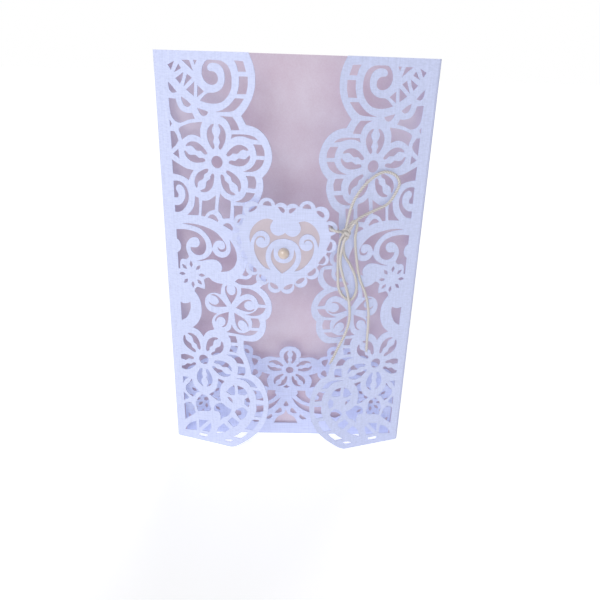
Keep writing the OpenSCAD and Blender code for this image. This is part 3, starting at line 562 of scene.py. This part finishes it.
@dataclass
class Twine:
    """The twine bow: a knot, a tie, two loops and two tails.

    Attributes:
        finish: The twine's finish.
        diameter: Its diameter.
        step: Distance between the rings of its mesh.
        gate: The gate that it lies over.
    """

    finish: TwineFinish = field(default_factory=TwineFinish)
    diameter: float = 0.0014
    step: float = 0.00035
    gate: Gate = field(default_factory=Gate)

    KNOT_PLACE = (0.0432, 0.1277, 0.0026)
    KNOT_STEPS = 32
    # Each turn's tilt in degrees, its radius in metres, and where it starts in degrees
    KNOT_TURNS = (
        ((90, 20, 20), 0.0017, 0.0),
        ((70, -50, 0), 0.0014, 90.0),
        ((10, 20, 30), 0.0017, 200.0),
        ((40, 80, 0), 0.0007, 0.0),
    )
    # Loose fibres at a bare end, with lengths in metres and the spread as a share of the twine's diameter
    FIBRES = 9
    FIBRE_LENGTH = 0.0016
    FIBRE_DIAMETER = 0.00022
    FIBRE_SIDES = 6
    FIBRE_ROOT = 0.0004
    FIBRE_SPREAD = 0.25
    FIBRE_DRIFT = 0.35
    FIBRE_SHARES = (0.0, 0.25, 0.5, 0.75, 1.0)
    # Each point's reach along the gate's sheet, height, and distance in front of the gate, in metres
    UPPER_LOOP: Route = (
        (0.0435, 0.1296, 0.0028), (0.043, 0.133, 0.0027), (0.0415, 0.139, 0.0024), (0.0395, 0.1435, 0.002),
        (0.035, 0.149, 0.0013), (0.03, 0.153, 0.0011), (0.025, 0.1548, 0.0011), (0.0195, 0.153, 0.0011),
        (0.0172, 0.1495, 0.0011), (0.0184, 0.1453, 0.0011), (0.0222, 0.14, 0.0012), (0.0294, 0.137, 0.0016),
        (0.036, 0.1348, 0.0028), (0.04, 0.1323, 0.0037), (0.042, 0.1289, 0.0036),
    )
    LOWER_LOOP: Route = (
        (0.0446, 0.1264, 0.0024), (0.046, 0.1235, 0.0024), (0.0462, 0.116, 0.0018), (0.0454, 0.105, 0.0012),
        (0.0444, 0.0985, 0.0011), (0.041, 0.0938, 0.0011), (0.0376, 0.0924, 0.0011), (0.0352, 0.097, 0.0011),
        (0.0362, 0.1043, 0.0011), (0.0395, 0.111, 0.0011), (0.0427, 0.116, 0.0013), (0.0439, 0.1205, 0.0018),
        (0.044, 0.1235, 0.0021), (0.0433, 0.1261, 0.0015),
    )
    LEFT_TAIL: Route = (
        (0.0436, 0.1261, 0.0038), (0.0448, 0.123, 0.0038), (0.0458, 0.114, 0.0036), (0.0435, 0.1055, 0.003),
        (0.041, 0.0985, 0.0028), (0.0394, 0.092, 0.0028), (0.038, 0.0825, 0.0016), (0.0393, 0.075, 0.0014),
        (0.0433, 0.0665, 0.0018), (0.047, 0.0595, 0.0026),
    )
    RIGHT_TAIL: Route = (
        (0.0418, 0.1284, 0.0015), (0.0408, 0.131, 0.0012), (0.039, 0.1324, 0.0011), (0.0374, 0.1312, 0.0011),
        (0.0373, 0.1284, 0.0011), (0.0378, 0.1245, 0.0011), (0.0364, 0.1143, 0.0011), (0.034, 0.104, 0.0011),
        (0.0298, 0.0942, 0.0011), (0.0278, 0.087, 0.0011), (0.027, 0.0785, 0.0011), (0.0269, 0.07, 0.0011),
        (0.0267, 0.063, 0.0011),
    )
    TIE: Route = (
        (0.0451, 0.128, 0.0029), (0.0474, 0.129, 0.005), (0.0495, 0.1295, 0.0055), (0.0511, 0.1298, 0.0039),
        (0.051, 0.13, 0.0019), (0.0496, 0.1298, 0.0), (0.047, 0.1286, -0.0015), (0.0446, 0.1264, -0.0026),
        (0.0428, 0.124, -0.0025), (0.0427, 0.123, -0.0011), (0.043, 0.1233, 0.0004), (0.0419, 0.1246, 0.0014),
        (0.0416, 0.1268, 0.0018),
    )

    def build(self) -> None:
        """Lays the whole bow."""
        material = twine_material(self.finish)
        knot = self._knot(material)
        rows = (
            ("twine_tie", self.TIE, FarEnd.OBJECT),
            ("twine_loop_upper", self.UPPER_LOOP, FarEnd.OBJECT),
            ("twine_loop_lower", self.LOWER_LOOP, FarEnd.OBJECT),
            ("twine_tail_left", self.LEFT_TAIL, FarEnd.BARE),
            ("twine_tail_right", self.RIGHT_TAIL, FarEnd.BARE),
        )
        for name, route, far_end in rows:
            line = SmoothLine([self.gate.point(q) for q in route], self.step)
            piece = self._piece(name, [line.samples], material, frayed=far_end is FarEnd.BARE)
            LOG.info("%s is %.1f mm long", name, line.length() / MILLIMETRE)

    def _knot(self, material: bpy.types.Material) -> bpy.types.Object:
        """Lays the knot's turns of twine round each other.

        Args:
            material: The twine's material.

        Returns:
            The knot.
        """
        centre = self.gate.point(self.KNOT_PLACE)
        turns = []
        for tilt, radius, start in self.KNOT_TURNS:
            turned = (
                Matrix.Rotation(math.radians(tilt[2]), 3, "Z")
                @ Matrix.Rotation(math.radians(tilt[1]), 3, "Y")
                @ Matrix.Rotation(math.radians(tilt[0]), 3, "X")
            )
            ring = []
            for k in range(self.KNOT_STEPS + 1):
                a = math.radians(start) + math.tau * k / self.KNOT_STEPS
                ring.append(centre + turned @ Vector((radius * math.cos(a), radius * math.sin(a), 0.0)))
            turns.append(ring)
        LOG.info("twine_knot has %d turns", len(turns))
        return self._piece("twine_knot", turns, material, frayed=False)

    def _piece(
        self, node: str, lines: list[list[Vector]], material: bpy.types.Material, frayed: bool
    ) -> bpy.types.Object:
        """One piece of twine that stands for a node.

        Args:
            node: The node's name.
            lines: Centrelines of its tubes.
            material: The twine's material.
            frayed: True where its far end is bare.

        Returns:
            The piece.
        """
        mesh = bmesh.new()
        groove_shade_layer = mesh.verts.layers.float.new("groove")
        for line in lines:
            TwistedTube(line, self.diameter).add_to(mesh, groove_shade_layer)
        if frayed:
            self._fray(mesh, groove_shade_layer, lines[0])
        data = bpy.data.meshes.new(node + "_cord")
        mesh.to_mesh(data)
        mesh.free()
        data.materials.append(material)
        piece = bpy.data.objects.new(node + "_cord", data)
        bpy.context.scene.collection.objects.link(piece)
        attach(piece, "root")
        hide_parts(node)
        return piece

    def _fray(self, mesh: bmesh.types.BMesh, groove_shade_layer: bmesh.types.BMLayerItem, line: list[Vector]) -> None:
        """Adds loose fibres at a bare end.

        Args:
            mesh: The mesh.
            groove_shade_layer: Float attribute that takes the painted shade of the grooves.
            line: Centreline of the twine that ends there.
        """
        rng = random.Random(len(line))
        way = (line[-1] - line[-3]).normalized()
        for _ in range(self.FIBRES):
            drift = Vector([rng.uniform(-1, 1) for _ in range(3)]) * self.FIBRE_DRIFT
            aside = Vector([rng.uniform(-1, 1) for _ in range(3)]) * self.diameter * self.FIBRE_SPREAD
            start = line[-1] + aside - way * self.FIBRE_ROOT
            fibre = [start + (way + drift * t) * (t * self.FIBRE_LENGTH) for t in self.FIBRE_SHARES]
            # The fibres get the painted groove shade too, though their groove depth is nil.
            TwistedTube(fibre, self.FIBRE_DIAMETER, sides=self.FIBRE_SIDES, groove=0.0).add_to(mesh, groove_shade_layer)


@dataclass
class Card:
    """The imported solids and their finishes.

    Attributes:
        nodes: The frame's nodes by name.
    """

    nodes: dict[str, bpy.types.Object]

    NODE_SLOTS = (
        ("wrap", Slot.CARD_STOCK),
        ("heart_lace", Slot.CARD_STOCK),
        ("insert_card", Slot.INSERT_STOCK),
        ("heart_backing", Slot.BACKING_STOCK),
        ("half_pearl", Slot.PEARL),
    )

    def finish(self) -> None:
        """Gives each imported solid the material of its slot."""
        looks = {
            Slot.CARD_STOCK: linen_material(LinenFinish()),
            Slot.INSERT_STOCK: pearlescent_material("mauve_card", INSERT_FINISH),
            Slot.BACKING_STOCK: pearlescent_material("champagne_card", BACKING_FINISH),
            Slot.PEARL: pearl_material(PearlFinish()),
        }
        for name, slot in self.NODE_SLOTS:
            data = self.nodes[name].data
            data.materials.clear()
            data.materials.append(looks[slot])
            LOG.info("%s has the finish %s", name, looks[slot].name)


@dataclass(frozen=True)
class Lamp:
    """A soft distant lamp.

    Attributes:
        name: Its name.
        azimuth: Side it shines from, in degrees, 0 from the front and 90 from the right.
        elevation: Height it shines from, in degrees.
        strength: Its strength.
        angle: Its apparent size, in degrees.
        shadows: False for a lamp that only fills the shade.
    """

    name: str
    azimuth: float
    elevation: float
    strength: float
    angle: float
    shadows: bool = True


@dataclass(frozen=True)
class Eye:
    """The photo's viewpoint, in the row frame.

    Attributes:
        place: The camera's place, in metres.
        yaw: Turn about the vertical, in radians.
        pitch: Tilt downwards, in radians.
        roll: Turn about the view axis, in radians.
        lens: Focal length in millimetres.
        sensor: Width of the sensor in millimetres.
        nearest: Nearest distance that is seen, in metres.
    """

    place: tuple[float, float, float] = (-0.0018935, -0.2576311, 0.2003371)
    yaw: float = -0.023610
    pitch: float = 0.405310
    roll: float = 0.033143
    lens: float = 33.415
    sensor: float = 36.0
    nearest: float = 0.01


class Studio:
    """Floor, white surroundings, lamps and camera."""

    AMBIENT = 0.22
    FLOOR_GLOW = 0.41
    FLOOR_SIZE = 8.0
    FLOOR_COLOUR = (0.97, 0.97, 0.97, 1.0)
    WHITE = (1.0, 1.0, 1.0, 1.0)
    LAMPS = (
        Lamp("key", -26.0, 30.0, 0.5, 24.0),
        Lamp("fill", -25.0, 26.0, 1.32, 24.0, shadows=False),
        Lamp("side", -80.0, 25.0, 0.25, 40.0),
        Lamp("back", 165.0, 30.0, 1.3, 40.0),
    )

    def build(self) -> None:
        """Makes the whole studio."""
        self._floor()
        self._world()
        for lamp in self.LAMPS:
            self._lamp(lamp)
        self._camera(Eye())
        scene = bpy.context.scene
        scene.view_settings.view_transform = "Standard"

    def _floor(self) -> None:
        """A plain pale floor."""
        mesh = bmesh.new()
        bmesh.ops.create_grid(mesh, x_segments=1, y_segments=1, size=self.FLOOR_SIZE)
        data = bpy.data.meshes.new("floor")
        mesh.to_mesh(data)
        mesh.free()
        graph = NodeGraph("floor_paint")
        shader = graph.surface(1.0, specular=0.0)
        shader.inputs["Base Color"].default_value = self.FLOOR_COLOUR
        shader.inputs["Emission Color"].default_value = self.WHITE
        shader.inputs["Emission Strength"].default_value = self.FLOOR_GLOW
        data.materials.append(graph.material)
        floor = bpy.data.objects.new("floor", data)
        bpy.context.scene.collection.objects.link(floor)

    def _world(self) -> None:
        """White behind the object and in what it mirrors, and a level light on everything else."""
        world = bpy.data.worlds.new("surroundings")
        bpy.context.scene.world = world
        world.use_nodes = True
        tree = world.node_tree
        tree.nodes.clear()
        out = tree.nodes.new("ShaderNodeOutputWorld")
        seen = tree.nodes.new("ShaderNodeBackground")
        seen.inputs["Color"].default_value = self.WHITE
        light = tree.nodes.new("ShaderNodeBackground")
        light.inputs["Color"].default_value = self.WHITE
        light.inputs["Strength"].default_value = self.AMBIENT
        path = tree.nodes.new("ShaderNodeLightPath")
        shown = path.outputs["Is Camera Ray"]
        for ray in ("Is Glossy Ray", "Is Transmission Ray"):
            either = tree.nodes.new("ShaderNodeMath")
            either.operation = "MAXIMUM"
            tree.links.new(shown, either.inputs[0])
            tree.links.new(path.outputs[ray], either.inputs[1])
            shown = either.outputs["Value"]
        mix = tree.nodes.new("ShaderNodeMixShader")
        tree.links.new(shown, mix.inputs["Fac"])
        tree.links.new(light.outputs["Background"], mix.inputs[1])
        tree.links.new(seen.outputs["Background"], mix.inputs[2])
        tree.links.new(mix.outputs["Shader"], out.inputs["Surface"])

    def _lamp(self, lamp: Lamp) -> None:
        """Adds one lamp.

        Args:
            lamp: Its side, height, size and strength.
        """
        data = bpy.data.lights.new(lamp.name, "SUN")
        data.energy = lamp.strength
        data.angle = math.radians(lamp.angle)
        data.use_shadow = lamp.shadows
        holder = bpy.data.objects.new(lamp.name, data)
        a = math.radians(lamp.azimuth)
        e = math.radians(lamp.elevation)
        towards = Vector((math.sin(a) * math.cos(e), -math.cos(a) * math.cos(e), math.sin(e)))
        holder.rotation_mode = "QUATERNION"
        holder.rotation_quaternion = towards.to_track_quat("Z", "Y")
        holder.location = towards
        bpy.context.scene.collection.objects.link(holder)

    def _camera(self, eye: Eye) -> None:
        """Puts the camera where the photo was taken from.

        Args:
            eye: The photo's viewpoint.
        """
        data = bpy.data.cameras.new("camera")
        data.lens = eye.lens
        data.sensor_width = eye.sensor
        data.clip_start = eye.nearest
        camera = bpy.data.objects.new("camera", data)
        turn = (
            Matrix.Rotation(eye.yaw, 4, "Z")
            @ Matrix.Rotation(math.pi / 2 - eye.pitch, 4, "X")
            @ Matrix.Rotation(eye.roll, 4, "Z")
        )
        camera.matrix_world = Matrix.Translation(eye.place) @ turn
        bpy.context.scene.collection.objects.link(camera)
        bpy.context.scene.camera = camera


def main() -> None:
    """Builds the scene in order."""
    logging.basicConfig(level=logging.INFO, format="%(name)s: %(message)s")
    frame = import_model()
    Card(frame["nodes"]).finish()
    Twine().build()
    Studio().build()


if __name__ == "__main__":
    main()
